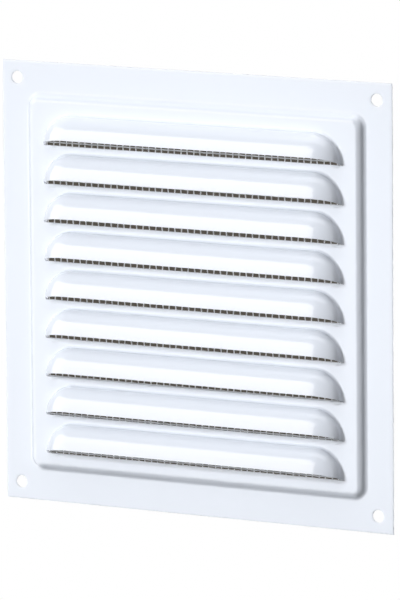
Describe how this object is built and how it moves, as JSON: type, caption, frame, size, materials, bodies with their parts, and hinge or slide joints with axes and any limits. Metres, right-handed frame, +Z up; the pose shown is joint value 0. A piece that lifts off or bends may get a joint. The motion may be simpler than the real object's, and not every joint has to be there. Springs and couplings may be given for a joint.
{
  "type": "ventilation grille",
  "caption": "Square pressed-metal ventilation grille with hooded fixed louvres across a raised panel, a screw hole near each corner, and a woven insect screen behind.",
  "frame": {"origin": "centre of the plate, midway between its four screw holes, on the wall plane that the back of the rim lies on", "axes": "+Z up along the plate's height, the louvred front faces -Y and the back faces +Y, +X along the louvres"},
  "size_m": [0.175, 0.0098, 0.175],
  "materials": {
    "face_plate": "semi-gloss white powder coat on pressed sheet steel",
    "insect_screen": "white-coated woven steel wire",
    "screen_adhesive": "cured hot-melt adhesive, slightly waxy"
  },
  "bodies": {
    "root": {"face_plate": "face_plate", "insect_screen": "insect_screen", "screen_adhesive": "screen_adhesive"}
  },
  "joints": []
}
